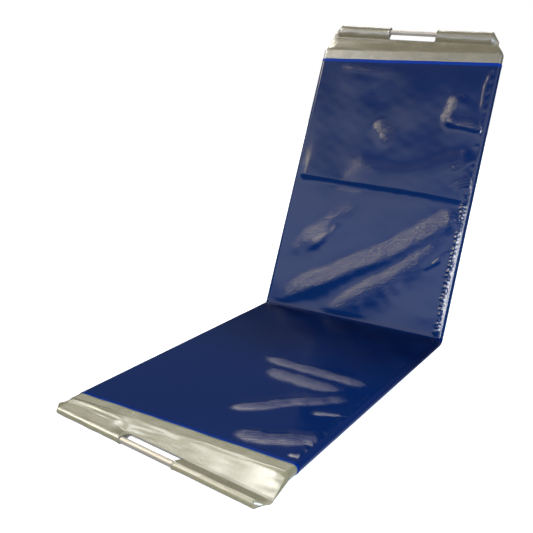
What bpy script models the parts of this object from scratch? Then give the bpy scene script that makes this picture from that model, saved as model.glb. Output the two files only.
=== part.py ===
"""Folding lateral transfer board: two rigid halves in a silver liner, inside a loose blue sleeve.

The lower half lies on the floor and the upper half stands at the fold, leaning back.
Origin: middle of the lower half's underside. +Z is up and +Y runs towards the fold, in metres.
"""
import math

import bmesh
import bpy
from mathutils import Matrix, Vector

# Overall sizes
BOARD_WIDTH = 0.550          # over the sleeve
HALF_LENGTH = 0.768          # fold line to the sleeve's open end
CORE_PAST_HEM = 0.027        # how far the core reaches out of the sleeve
FOLD_ANGLE = math.radians(113.1)    # between the two upper faces

# Layers, from the middle of the board outwards
FOAM_THICKNESS = 0.016
SKIN_THICKNESS = 0.0015
LINER_WALL = 0.0008
SLEEVE_WALL = 0.0006
CLEARANCE = 0.0003           # between pieces that touch

# Core
EDGE_FLAT = 0.001            # half the flat that stays between the rounded corners of the long edges
CORE_FOLD_GAP = 0.003        # foam and skins stop this far from the fold line
SKIN_CORNER_RADIUS = 0.012

# Fold
PIVOT_RISE = 0.0005          # fold axis above the upper faces, so the halves close face to face
HEM_WIDTH = 0.008

# End flaps, measured outwards from the end of the core.
# The pocket seam is also the inner edge of the grip opening.
# The lower flap lies pressed wide on the floor.
SHOULDER_LENGTH = 0.010      # liner that bends
SEAM_HALF_THICKNESS = 0.0011
ROUNDEST_EDGE = 0.98         # corner radius as a share of half the height, which leaves a sliver flat
FLAP_TAPER = 1.3             # above 1 the plies sag between the core and the seam
FLAPS = {
    "lower": {
        "seam_reach": 0.046,         # out to the pocket seam
        "rod_reach": 0.071,          # out to the rod's axis
        "spread": 0.023,             # how much wider than the board the pocket seam is
        "pocket_slack": 0.0,         # how far the pocket reaches out past the rod
        "skew": math.radians(6.5),   # positive where the right side lies further out
    },
    "upper": {
        "seam_reach": 0.038,
        "rod_reach": 0.061,
        "spread": -0.041,
        "pocket_slack": 0.006,
        "skew": math.radians(-2.2),
    },
}

# Grip rod and its pockets
ROD_DIAMETER = 0.014
ROD_WALL = 0.0012
ROD_END_GAP = 0.0125         # from the rod's end to where the narrower flap's pocket starts to close
GRIP_WIDTH = 0.145           # bare stretch of the rod between the two pockets
POCKET_WALL = 0.0008
POCKET_CLEARANCE = 0.0004    # between the rod and its pocket
POCKET_CLOSING = 0.020       # end stretch, past the rod, in which the pocket goes flat
POCKET_CORNER = 0.25         # share of its depth that the pocket keeps at its slanting end
PLUG_STEM = 0.012
PLUG_HEAD = 0.0035
PLUG_RIM = 0.001             # straight part of the head, below its dome

# Facets
CORNER_STEPS = 6
FLAP_RINGS = 7
FOLD_RINGS = 9
SHOULDER_RINGS = 4
ARC_STEPS = 14
CLOSING_STEPS = 4
DOME_STEPS = 5
TURN_STEPS = 32
MERGE_DISTANCE = 0.00001

# Worked out from the values above
LINER_OUTSET = CLEARANCE + LINER_WALL
SLEEVE_OUTSET = CLEARANCE + SLEEVE_WALL
CORE_HALF_THICKNESS = FOAM_THICKNESS / 2 + CLEARANCE + SKIN_THICKNESS
CORE_EDGE_RADIUS = FOAM_THICKNESS / 2 - EDGE_FLAT
WRAP_RADIUS = CORE_HALF_THICKNESS - EDGE_FLAT    # inner corner radius of the liner round the core
HALF_THICKNESS = CORE_HALF_THICKNESS + LINER_OUTSET + SLEEVE_OUTSET
THICKNESS = 2 * HALF_THICKNESS
CORE_HALF_WIDTH = BOARD_WIDTH / 2 - SLEEVE_OUTSET - LINER_OUTSET
LINER_HALF_WIDTH = BOARD_WIDTH / 2 - SLEEVE_OUTSET
LINER_HALF_THICKNESS = CORE_HALF_THICKNESS + LINER_OUTSET
CORE_END = HALF_LENGTH + CORE_PAST_HEM
FOLD_Y = HALF_LENGTH / 2
ROD_RADIUS = ROD_DIAMETER / 2
POCKET_RADIUS = ROD_RADIUS + POCKET_CLEARANCE + POCKET_WALL
NARROWEST_FLAP = BOARD_WIDTH + min(flap["spread"] for flap in FLAPS.values())
ROD_LENGTH = NARROWEST_FLAP - 2 * (POCKET_CLOSING + ROD_END_GAP)
FULL_TURN = 2 * math.pi


def clear_scene():
    """Removes whatever the file held."""
    for obj in list(bpy.data.objects):
        bpy.data.objects.remove(obj, do_unlink=True)


def new_collection(name):
    collection = bpy.data.collections.new(name)
    bpy.context.scene.collection.children.link(collection)
    return collection


def new_material(name, colour, roughness, metallic=0.0):
    material = bpy.data.materials.new(name)
    material.use_nodes = True
    shader = material.node_tree.nodes["Principled BSDF"]
    shader.inputs["Base Color"].default_value = (*colour, 1.0)
    shader.inputs["Roughness"].default_value = roughness
    shader.inputs["Metallic"].default_value = metallic
    return material


def place(obj, parent, location=(0, 0, 0), rotation=(0, 0, 0)):
    obj.parent = parent
    obj.location = location
    obj.rotation_euler = rotation
    return obj


def new_empty(name, parent=None, location=(0, 0, 0), rotation=(0, 0, 0)):
    empty = bpy.data.objects.new(name, None)
    empty.empty_display_size = 0.05
    PARTS.objects.link(empty)
    return place(empty, parent, location, rotation)


def add_object(name, data, material):
    data.materials.append(material)
    obj = bpy.data.objects.new(name, data)
    PARTS.objects.link(obj)
    return obj


def smooth_mesh(mesh, angle=math.radians(35)):
    mesh.shade_smooth()
    mesh.set_sharp_from_angle(angle=angle)


def finish_bmesh(bm, name):
    bmesh.ops.recalc_face_normals(bm, faces=bm.faces)
    mesh = bpy.data.meshes.new(name)
    bm.to_mesh(mesh)
    bm.free()
    smooth_mesh(mesh)
    return mesh


def rounded_outline(half_width, half_height, radius, steps=CORNER_STEPS):
    """Points of a rectangle with round corners, counter-clockwise from the right-hand side."""
    points = []
    for corner in range(4):
        side = 1 if corner in (0, 3) else -1
        level = 1 if corner in (0, 1) else -1
        centre_x = side * (half_width - radius)
        centre_y = level * (half_height - radius)
        for step in range(steps + 1):
            angle = (corner + step / steps) * math.pi / 2
            points.append((centre_x + radius * math.cos(angle), centre_y + radius * math.sin(angle)))
    return points


def inset_outline(half_width, half_height, radius, inset):
    return rounded_outline(half_width - inset, half_height - inset, radius - inset)


def prism(name, outlines, length, material):
    """A flat outline, with a hole where a second outline is given, extruded along its own Z."""
    curve = bpy.data.curves.new(name, "CURVE")
    curve.dimensions = "2D"
    curve.fill_mode = "BOTH"
    curve.extrude = length / 2
    for outline in outlines:
        spline = curve.splines.new("POLY")
        spline.points.add(len(outline) - 1)
        spline.use_cyclic_u = True
        for point, (x, y) in zip(spline.points, outline):
            point.co = (x, y, 0, 1)
    return add_object(name, curve, material)


def board_tube(name, parent, outline_sizes, wall, start, end, material):
    """A tube round the board from start to end, measured from the fold line."""
    outer = rounded_outline(*outline_sizes)
    inner = inset_outline(*outline_sizes, wall)
    tube = prism(name, [outer, inner], end - start, material)
    return place(tube, parent, (0, (start + end) / 2, HALF_THICKNESS), (math.pi / 2, 0, 0))


def tube_between_rings(name, outer, inner, material, closed_end=False):
    """A walled loft: outer and inner are lists of rings, and each ring is a list of points.

    Where closed_end is true, the last ring of each is capped, and the inner rings may be fewer.
    """
    bm = bmesh.new()
    outer_rings = [[bm.verts.new(point) for point in ring] for ring in outer]
    inner_rings = [[bm.verts.new(point) for point in ring] for ring in inner]

    def strip(first, second):
        count = len(first)
        for i in range(count):
            j = (i + 1) % count
            bm.faces.new((first[i], first[j], second[j], second[i]))

    for rings in (outer_rings, inner_rings):
        for first, second in zip(rings, rings[1:]):
            strip(first, second)
    strip(inner_rings[0], outer_rings[0])
    if closed_end:
        bm.faces.new(outer_rings[-1])
        bm.faces.new(inner_rings[-1])
    else:
        strip(outer_rings[-1], inner_rings[-1])
    return add_object(name, finish_bmesh(bm, name), material)


def liner_sizes():
    return LINER_HALF_WIDTH, LINER_HALF_THICKNESS, WRAP_RADIUS + LINER_WALL


def sleeve_sizes():
    return BOARD_WIDTH / 2, HALF_THICKNESS, WRAP_RADIUS + LINER_WALL + SLEEVE_OUTSET


def add_foam(name, parent):
    """The foam slab, with its two long edges rounded."""
    length = CORE_END - CLEARANCE - CORE_FOLD_GAP
    bm = bmesh.new()
    bmesh.ops.create_cube(bm, size=1.0)
    bmesh.ops.scale(bm, vec=(2 * CORE_HALF_WIDTH, length, FOAM_THICKNESS), verts=bm.verts)
    long_edges = [e for e in bm.edges if abs((e.verts[0].co - e.verts[1].co).y) > length / 2]
    bmesh.ops.bevel(
        bm, geom=long_edges, offset=CORE_EDGE_RADIUS, segments=CORNER_STEPS, profile=0.5, affect="EDGES"
    )
    foam = add_object(name, finish_bmesh(bm, name), MATERIALS["foam"])
    return place(foam, parent, (0, CORE_FOLD_GAP + length / 2, HALF_THICKNESS))


def add_skin(name, parent, level):
    """A thin rigid sheet on the foam: level is 1 for the upper face and -1 for the underside."""
    length = CORE_END - CLEARANCE - CORE_FOLD_GAP
    half_width = CORE_HALF_WIDTH - CORE_EDGE_RADIUS
    outline = rounded_outline(half_width, length / 2, SKIN_CORNER_RADIUS)
    skin = prism(name, [outline], SKIN_THICKNESS, MATERIALS["skin"])
    height = HALF_THICKNESS + level * (CORE_HALF_THICKNESS - SKIN_THICKNESS / 2)
    return place(skin, parent, (0, CORE_FOLD_GAP + length / 2, height))


def seam_half_width(flap):
    return (BOARD_WIDTH + flap["spread"]) / 2


def flap_half_thickness(reach, seam_reach):
    """Half the distance over the two plies, which close from the liner to the pocket seam."""
    share = (1 - reach / seam_reach) ** FLAP_TAPER
    return SEAM_HALF_THICKNESS + (LINER_HALF_THICKNESS - SEAM_HALF_THICKNESS) * share


def flap_ring(flap, reach, inset, slope):
    """The flap's outline at a reach, sheared by slope so that its seam lies along the skewed rod."""
    seam_reach = flap["seam_reach"]
    half_width = LINER_HALF_WIDTH + (seam_half_width(flap) - LINER_HALF_WIDTH) * reach / seam_reach
    half_height = flap_half_thickness(reach, seam_reach)
    radius = min(WRAP_RADIUS + LINER_WALL, half_height * ROUNDEST_EDGE)
    shear = slope * max(0, (reach - SHOULDER_LENGTH) / (seam_reach - SHOULDER_LENGTH))
    outline = inset_outline(half_width, half_height, radius, inset)
    return [(x, reach + shear * x, z) for x, z in outline]


def add_shoulder(name, half_frame, flap, droop):
    """The stretch of liner that bends between the core's end and the flap."""
    first = CLEARANCE
    last = SHOULDER_LENGTH - CLEARANCE
    outer = []
    inner = []
    for i in range(SHOULDER_RINGS):
        share = i / (SHOULDER_RINGS - 1)
        reach = first + (last - first) * share
        turn = Matrix.Rotation(-droop * share, 4, "X")
        outer.append([turn @ Vector(point) for point in flap_ring(flap, reach, 0, 0)])
        inner.append([turn @ Vector(point) for point in flap_ring(flap, reach, LINER_WALL, 0)])
    shoulder = tube_between_rings(name, outer, inner, MATERIALS["liner"])
    return place(shoulder, half_frame, (0, CORE_END, HALF_THICKNESS))


def add_flap(name, flap_axis, flap, slope):
    """The liner's two plies, which close from the core's section to the flat pocket seam."""
    length = flap["seam_reach"] - CLEARANCE - SHOULDER_LENGTH
    outer = []
    inner = []
    for i in range(FLAP_RINGS):
        reach = SHOULDER_LENGTH + length * i / (FLAP_RINGS - 1)
        outer.append(flap_ring(flap, reach, 0, slope))
        inner.append(flap_ring(flap, reach, LINER_WALL, slope))
    return place(tube_between_rings(name, outer, inner, MATERIALS["liner"]), flap_axis)


def teardrop(radius, seam_distance, seam_half_height, slack):
    """Section of a rod pocket, from the seam round the rod's outer side and back.

    The rod's axis is at zero, the seam lies at minus seam_distance, and slack draws out the outer side.
    """
    start = math.pi - math.acos((radius - seam_half_height) / seam_distance)
    points = [(-seam_distance, seam_half_height)]
    for step in range(ARC_STEPS + 1):
        angle = start - 2 * start * step / ARC_STEPS
        outwards = radius * math.cos(angle) + slack * max(0.0, math.cos(angle)) ** 2
        points.append((outwards, radius * math.sin(angle)))
    points.append((-seam_distance, -seam_half_height))
    return points


def pocket_seam_distance(flap, slope):
    """From the rod's axis to the pocket's own edge at the seam, square to the rod."""
    return (flap["rod_reach"] - flap["seam_reach"]) / math.hypot(1, slope) - CLEARANCE


def add_pocket(name, rod_axis, flap, side, slope):
    """A rod pocket beside the grip. Past the rod's end it goes flat, with its corner cut off."""
    seam = pocket_seam_distance(flap, slope)
    slack = flap["pocket_slack"]
    closing_start = seam_half_width(flap) - POCKET_CLOSING
    flat = SEAM_HALF_THICKNESS / POCKET_RADIUS
    stations = [(GRIP_WIDTH / 2, 0)]
    for step in range(CLOSING_STEPS + 1):
        closed = step / CLOSING_STEPS
        stations.append((closing_start + POCKET_CLOSING * closed, closed))
    section = teardrop(POCKET_RADIUS, seam, SEAM_HALF_THICKNESS, slack)
    outer = []
    for station, closed in stations:
        flatten = 1 - (1 - flat) * math.sin(closed * math.pi / 2)
        depth = 1 - (1 - POCKET_CORNER) * closed
        outer.append([(side * station, (y + seam) * depth - seam, z * flatten) for y, z in section])
    section = teardrop(POCKET_RADIUS - POCKET_WALL, seam - 2 * POCKET_WALL, CLEARANCE, slack)
    inner = []
    for station in (GRIP_WIDTH / 2, closing_start):
        inner.append([(side * station, y, z) for y, z in section])
    return place(tube_between_rings(name, outer, inner, MATERIALS["liner"], closed_end=True), rod_axis)


def turned(name, profile, material):
    """A profile of (radius, height) points turned about its own Z, closed if it starts off the axis."""
    mesh = bpy.data.meshes.new(name)
    on_axis = profile[0][0] == 0
    edges = [(i, i + 1) for i in range(len(profile) - 1)]
    if not on_axis:
        edges.append((len(profile) - 1, 0))
    mesh.from_pydata([(radius, 0, height) for radius, height in profile], edges, [])
    obj = add_object(name, mesh, material)
    screw = obj.modifiers.new("Turn", "SCREW")
    screw.axis = "Z"
    screw.angle = FULL_TURN
    screw.steps = TURN_STEPS
    screw.render_steps = TURN_STEPS
    screw.use_merge_vertices = True
    screw.merge_threshold = MERGE_DISTANCE
    screw.use_smooth_shade = True
    return obj


def add_rod(name, rod_axis):
    """The aluminium grip tube, which lies along the rod axis' X."""
    half = ROD_LENGTH / 2 - PLUG_HEAD - CLEARANCE
    bore = ROD_RADIUS - ROD_WALL
    profile = [(ROD_RADIUS, half), (ROD_RADIUS, -half), (bore, -half), (bore, half)]
    return place(turned(name, profile, MATERIALS["aluminium"]), rod_axis, rotation=(0, math.pi / 2, 0))


def add_plug(name, rod_axis, side):
    """A push-in plug with a domed head over the tube's end."""
    stem_radius = ROD_RADIUS - ROD_WALL - CLEARANCE
    half = ROD_LENGTH / 2
    face = half - PLUG_HEAD
    dome = [(0, half)]
    for step in range(1, DOME_STEPS + 1):
        angle = math.pi / 2 * (1 - step / DOME_STEPS)
        rise = PLUG_RIM + (PLUG_HEAD - PLUG_RIM) * math.sin(angle)
        dome.append((ROD_RADIUS * math.cos(angle), face + rise))
    profile = dome + [
        (ROD_RADIUS, face),
        (stem_radius, face),
        (stem_radius, face - PLUG_STEM),
        (0, face - PLUG_STEM),
    ]
    turn = math.pi / 2 if side > 0 else -math.pi / 2
    return place(turned(name, profile, MATERIALS["plug"]), rod_axis, rotation=(0, turn, 0))


def add_half(prefix, half_frame, droop, right):
    """All pieces of one half. Its frame has Y outwards from the fold line and Z up from the underside.

    right is 1 where the half's X points to the board's right-hand side, and -1 where it points left.
    """
    flap = FLAPS[prefix]
    slope = right * math.tan(flap["skew"])
    add_foam(f"{prefix}_core_foam", half_frame)
    add_skin(f"{prefix}_core_top_skin", half_frame, 1)
    add_skin(f"{prefix}_core_bottom_skin", half_frame, -1)
    hem_start = HALF_LENGTH - HEM_WIDTH
    board_tube(
        f"{prefix}_liner",
        half_frame,
        liner_sizes(),
        LINER_WALL,
        CLEARANCE,
        CORE_END,
        MATERIALS["liner"],
    )
    board_tube(
        f"{prefix}_sleeve",
        half_frame,
        sleeve_sizes(),
        SLEEVE_WALL,
        CLEARANCE,
        hem_start - CLEARANCE,
        MATERIALS["sleeve"],
    )
    board_tube(
        f"{prefix}_sleeve_hem",
        half_frame,
        sleeve_sizes(),
        SLEEVE_WALL,
        hem_start,
        HALF_LENGTH,
        MATERIALS["hem"],
    )
    add_shoulder(f"{prefix}_liner_shoulder", half_frame, flap, droop)
    flap_place = (0, CORE_END, HALF_THICKNESS)
    flap_axis = new_empty(f"{prefix}_flap_axis", half_frame, flap_place, (-droop, 0, 0))
    add_flap(f"{prefix}_flap", flap_axis, flap, slope)
    rod_place = (0, flap["rod_reach"], 0)
    rod_axis = new_empty(f"{prefix}_rod_axis", flap_axis, rod_place, (0, 0, math.atan(slope)))
    add_rod(f"{prefix}_grip_rod", rod_axis)
    for label, world_side in (("left", -1), ("right", 1)):
        side = world_side * right
        add_pocket(f"{prefix}_rod_pocket_{label}", rod_axis, flap, side, slope)
        add_plug(f"{prefix}_rod_plug_{label}", rod_axis, side)


def add_fold_tube(name, fold_axis, sizes, wall, material):
    """The stretch of a tube that goes round the fold: its section, turned about the fold axis."""
    turn_total = math.pi - FOLD_ANGLE
    offset = HALF_THICKNESS + PIVOT_RISE
    outer = []
    inner = []
    for i in range(FOLD_RINGS):
        turn = Matrix.Rotation(turn_total * i / (FOLD_RINGS - 1), 4, "X")
        for rings, inset in ((outer, 0), (inner, wall)):
            section = inset_outline(*sizes, inset)
            rings.append([turn @ Vector((x, 0, z - offset)) for x, z in section])
    return place(tube_between_rings(name, outer, inner, material), fold_axis)


def lower_flap_droop():
    """The angle at which the lower flap's furthest corner lies on the floor."""
    flap = FLAPS["lower"]
    furthest = flap["rod_reach"] + math.tan(flap["skew"]) * seam_half_width(flap)
    return math.asin((HALF_THICKNESS - POCKET_RADIUS - CLEARANCE) / furthest)


def build():
    fold_height = THICKNESS + PIVOT_RISE
    lower_frame = new_empty("lower_half_frame", None, (0, FOLD_Y, 0), (0, 0, math.pi))
    fold_place = (0, FOLD_Y, fold_height)
    fold_axis = new_empty("fold_axis", None, fold_place)
    upper_axis = new_empty("upper_half_axis", None, fold_place, (math.pi - FOLD_ANGLE, 0, 0))
    upper_frame = new_empty("upper_half_frame", upper_axis, (0, 0, -fold_height))
    add_half("lower", lower_frame, lower_flap_droop(), -1)
    add_half("upper", upper_frame, 0, 1)
    add_fold_tube("sleeve_fold", fold_axis, sleeve_sizes(), SLEEVE_WALL, MATERIALS["sleeve"])
    add_fold_tube("liner_fold", fold_axis, liner_sizes(), LINER_WALL, MATERIALS["liner"])


clear_scene()
PARTS = new_collection("lateral_transfer_board")
MATERIALS = {
    "sleeve": new_material("sleeve_film", (0.014, 0.028, 0.125), 0.28),
    "hem": new_material("sleeve_hem", (0.010, 0.060, 0.250), 0.40),
    "liner": new_material("liner_fabric", (0.42, 0.40, 0.30), 0.38),
    "foam": new_material("core_foam", (0.72, 0.72, 0.70), 0.90),
    "skin": new_material("core_skin", (0.55, 0.56, 0.58), 0.50),
    "aluminium": new_material("rod_aluminium", (0.78, 0.76, 0.72), 0.30, 1.0),
    "plug": new_material("rod_plug", (0.04, 0.04, 0.045), 0.60),
}
build()
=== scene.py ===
"""Looks of the folding lateral transfer board: film, liner cloth, rod pockets, rods, light and camera."""
import itertools
import math

import bmesh
import bpy
import numpy as np
from mathutils import Matrix, Vector


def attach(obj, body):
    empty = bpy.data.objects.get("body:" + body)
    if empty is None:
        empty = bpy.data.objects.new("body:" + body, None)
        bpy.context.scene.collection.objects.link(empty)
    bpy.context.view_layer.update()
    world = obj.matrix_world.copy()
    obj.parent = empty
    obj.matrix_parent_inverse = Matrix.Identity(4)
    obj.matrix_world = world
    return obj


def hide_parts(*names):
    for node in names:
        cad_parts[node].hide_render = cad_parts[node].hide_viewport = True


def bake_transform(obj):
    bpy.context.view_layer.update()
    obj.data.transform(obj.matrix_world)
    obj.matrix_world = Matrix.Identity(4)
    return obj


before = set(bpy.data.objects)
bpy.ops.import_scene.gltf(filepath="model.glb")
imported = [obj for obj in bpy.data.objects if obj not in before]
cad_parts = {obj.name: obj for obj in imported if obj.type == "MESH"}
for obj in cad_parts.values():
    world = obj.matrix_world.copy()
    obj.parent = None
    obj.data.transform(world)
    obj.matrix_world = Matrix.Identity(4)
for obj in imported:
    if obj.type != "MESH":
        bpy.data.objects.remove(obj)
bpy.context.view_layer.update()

# Sizes, in metres, as in the part's source
HALF_WIDTH = 0.275
THICKNESS = 0.0236
MIDDLE = THICKNESS / 2
EDGE_RADIUS = 0.0105
HALF_LENGTH = 0.768
HEM_START = 0.760
CORE_END = 0.795
FOLD_ANGLE = math.radians(113.1)
FOLD_Y, FOLD_Z = 0.384, 0.0241
LINER_OUTSET = 0.0009        # from the liner's outer face to the film's
SHOULDER = 0.010
SEAM_HALF = 0.0011
FLAP_TAPER = 1.3
# seam and rod are distances out from the core's end, half_seam half the pocket seam's length,
# and slack how far a pocket reaches out past the rod
FLAPS = {
    "lower": {
        "seam": 0.046, "rod": 0.071, "half_seam": 0.2865, "slack": 0.0,
        "skew": math.radians(6.5), "droop": math.radians(1.825),
    },
    "upper": {
        "seam": 0.038, "rod": 0.061, "half_seam": 0.2545, "slack": 0.006,
        "skew": math.radians(-2.2), "droop": 0.0,
    },
}
POCKET_RADIUS = 0.0082
GRIP_HALF = 0.0725
POCKET_CLOSING = 0.020
POCKET_WALL = 0.0008
HEM_GIRTH = 0.02             # round the hem's band
HEM_MIDDLE, HEM_HALF, HEM_RISE = 0.764, 0.0048, 0.00040
FLAT_END = HALF_WIDTH - EDGE_RADIUS    # where the flat faces meet the rounded long edges
LINER_HALF = 0.2741          # half the liner's width at the core's end
LINER_RADIUS = 0.0096        # its corner radius
LINER_INSIDE = 0.066         # how far in from the core's end the cloth is drawn
PUCKER_END = 0.2635          # where gathers run out, near the right long edge
ROLL_END = 0.2662            # where the roll along that edge runs out
TALLEST_FOLD = 0.0100
SIDES = (-1, 1)              # left and right
STITCH_HALF, THREAD_RADIUS = 0.0015, 0.00034

TURN = math.pi - FOLD_ANGLE
UP_Y, UP_Z = math.cos(TURN), math.sin(TURN)


def place(half, x, s, n):
    """World places: x to the board's right, s out from the fold and n up from the half's underside."""
    x, s, n = np.broadcast_arrays(x, s, n)
    if half == "lower":
        return np.stack([x, FOLD_Y - s, n], axis=-1)
    m = n - FOLD_Z
    return np.stack([x, FOLD_Y + s * UP_Y - m * UP_Z, FOLD_Z + s * UP_Z + m * UP_Y], axis=-1)


def grid_faces(rows, columns, closed=False):
    """Quads of a grid whose points run row by row. closed joins its last column to its first."""
    r, c = np.meshgrid(np.arange(rows - 1), np.arange(columns if closed else columns - 1), indexing="ij")
    after = (c + 1) % columns
    here, above = r * columns, (r + 1) * columns
    return np.stack([here + c, here + after, above + after, above + c], axis=-1).reshape(-1, 4)


def new_mesh(name, points, faces, material, uv=None, smooth=True):
    """A mesh object from arrays. uv holds one place, in metres, for each face corner."""
    mesh = bpy.data.meshes.new(name)
    points = np.asarray(points, np.float32).reshape(-1, 3)
    mesh.vertices.add(len(points))
    mesh.vertices.foreach_set("co", points.ravel())
    sizes = np.array([len(face) for face in faces], np.int32)
    corners = np.concatenate([np.asarray(face, np.int32) for face in faces])
    mesh.loops.add(len(corners))
    mesh.loops.foreach_set("vertex_index", corners)
    mesh.polygons.add(len(sizes))
    mesh.polygons.foreach_set("loop_start", np.concatenate([[0], np.cumsum(sizes)[:-1]]).astype(np.int32))
    mesh.update(calc_edges=True)
    mesh.validate()
    if uv is not None:
        layer = mesh.uv_layers.new(name="metres")
        layer.data.foreach_set("uv", np.asarray(uv, np.float32).ravel())
    if smooth:
        mesh.shade_smooth()
    mesh.materials.append(material)
    obj = bpy.data.objects.new(name, mesh)
    bpy.context.scene.collection.objects.link(obj)
    return obj


def grid_object(name, points, uv, material, closed=False, flip=False):
    """A smooth surface through rows x columns of points. If closed, uv has a column more than points."""
    rows, columns = points.shape[:2]
    faces = grid_faces(rows, columns, closed)
    uv_faces = grid_faces(rows, uv.shape[1])
    if flip:
        faces, uv_faces = faces[:, ::-1], uv_faces[:, ::-1]
    return new_mesh(name, points.reshape(-1, 3), faces, material, uv.reshape(-1, 2)[uv_faces.ravel()])


def weld(obj):
    """Joins points that coincide, such as where a closed strip meets its start."""
    bm = bmesh.new()
    bm.from_mesh(obj.data)
    bmesh.ops.remove_doubles(bm, verts=bm.verts, dist=1e-6)
    bmesh.ops.recalc_face_normals(bm, faces=bm.faces)
    bm.to_mesh(obj.data)
    bm.free()
    obj.data.shade_smooth()


def ring_lengths(ring):
    """Lengths from the first point of a closed ring, round and back to it."""
    steps = np.diff(np.vstack([ring, ring[:1]]), axis=0)
    return np.concatenate([[0], np.cumsum(np.linalg.norm(steps, axis=1))])


def ease(t):
    """A smooth step from 0 to 1."""
    t = np.clip(t, 0, 1)
    return t * t * (3 - 2 * t)


def smooth_path(points, steps=10):
    """A Catmull-Rom curve through the points, as an array."""
    p = np.array(points, float)
    p = np.vstack([2 * p[0] - p[1], p, 2 * p[-1] - p[-2]])
    out = []
    for a, b, c, d in zip(p, p[1:], p[2:], p[3:]):
        for t in np.arange(steps) / steps:
            square, cube = 2 * a - 5 * b + 4 * c - d, 3 * b - a - 3 * c + d
            out.append(0.5 * (2 * b + (c - a) * t + square * t ** 2 + cube * t ** 3))
    out.append(p[-2])
    return np.array(out)


def along_path(path, x, s):
    """Share of the path's length nearest to each point, and the distance to its left."""
    best = np.full(x.shape, 1e9)
    share = np.zeros(x.shape)
    signed = np.zeros(x.shape)
    lengths = np.linalg.norm(np.diff(path, axis=0), axis=1)
    before = np.concatenate([[0], np.cumsum(lengths)])
    for i, length in enumerate(lengths):
        run = (path[i + 1] - path[i]) / length
        dx, ds = x - path[i][0], s - path[i][1]
        t = np.clip(dx * run[0] + ds * run[1], 0, length)
        ox, os = dx - t * run[0], ds - t * run[1]
        distance = np.hypot(ox, os)
        nearer = distance < best
        best[nearer] = distance[nearer]
        share[nearer] = (before[i] + t[nearer]) / before[-1]
        side = np.sign(run[0] * os - run[1] * ox)
        signed[nearer] = (side * distance)[nearer]
    return share, signed


def ridge(
    x, s, points, height, outer, inner, power=2.0, ends=(0.3, 0.3), inner_end=None, wander=1.0, crinkled=1.0
):
    """A fold along a path, whose flanks to the left and right are outer and inner wide.

    ends are the shares of its length over which it rises and falls, and inner_end is the right flank's
    width at the path's end. crinkled is not used here: film_height and film_crumple read it.
    """
    path = smooth_path(points)
    share, across = along_path(path, x, s)
    length = np.linalg.norm(np.diff(path, axis=0), axis=1).sum()
    phase = 40 * (points[0][0] + points[0][1])
    run = share * length
    across = across + wander * (0.0028 * waves(run, phase, 81, 0.13) + 0.0007 * waves(run, phase, 82, 0.035))
    height = height * (1 + wander * 0.12 * waves(run, phase, 83, 0.06))
    inner_end = inner if inner_end is None else inner_end
    width = np.where(across > 0, outer, inner + (inner_end - inner) * share)
    taper = ease(share / max(ends[0], 1e-6)) * ease((1 - share) / max(ends[1], 1e-6))
    return height * taper * np.exp(-(np.abs(across) / width) ** power)


def waves(x, s, seed, size, terms=9, stretch=(1.0, 1.0)):
    """Smooth irregular swells of about the given size, from -1 to 1 or so."""
    rng = np.random.default_rng(seed)
    total = np.zeros(np.broadcast(x, s).shape)
    for _ in range(terms):
        angle = rng.uniform(0, math.pi)
        length = size * rng.uniform(0.7, 1.6)
        phase = rng.uniform(0, 2 * math.pi)
        run = (x / stretch[0] * math.cos(angle) + s / stretch[1] * math.sin(angle)) / length
        total += np.sin(2 * math.pi * run + phase)
    return total / math.sqrt(terms)


# ---- materials


def fill(tree, socket, value):
    """Links an input to the socket given, or sets its value. A colour gets its alpha here."""
    if isinstance(value, bpy.types.NodeSocket):
        tree.links.new(value, socket)
    else:
        socket.default_value = (*value, 1.0) if socket.type == "RGBA" else value


def add_node(tree, kind, inputs=(), **settings):
    """A new node, with its inputs by name or number."""
    node = tree.nodes.new(kind)
    for key, value in settings.items():
        setattr(node, key, value)
    for key, value in dict(inputs).items():
        fill(tree, node.inputs[key], value)
    return node


def colour_stops(ramp, stops):
    """Sets a colour ramp's elements to (position, colour) stops."""
    while len(ramp.elements) < len(stops):
        ramp.elements.new(0.5)
    for element, (at, colour) in zip(ramp.elements, stops):
        element.position = at
        element.color = (*colour, 1.0)


def srgb(r, g, b):
    """Linear values of a colour given in 0 to 255."""
    def linear(v):
        v /= 255
        return v / 12.92 if v <= 0.04045 else ((v + 0.055) / 1.055) ** 2.4
    return linear(r), linear(g), linear(b)


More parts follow.
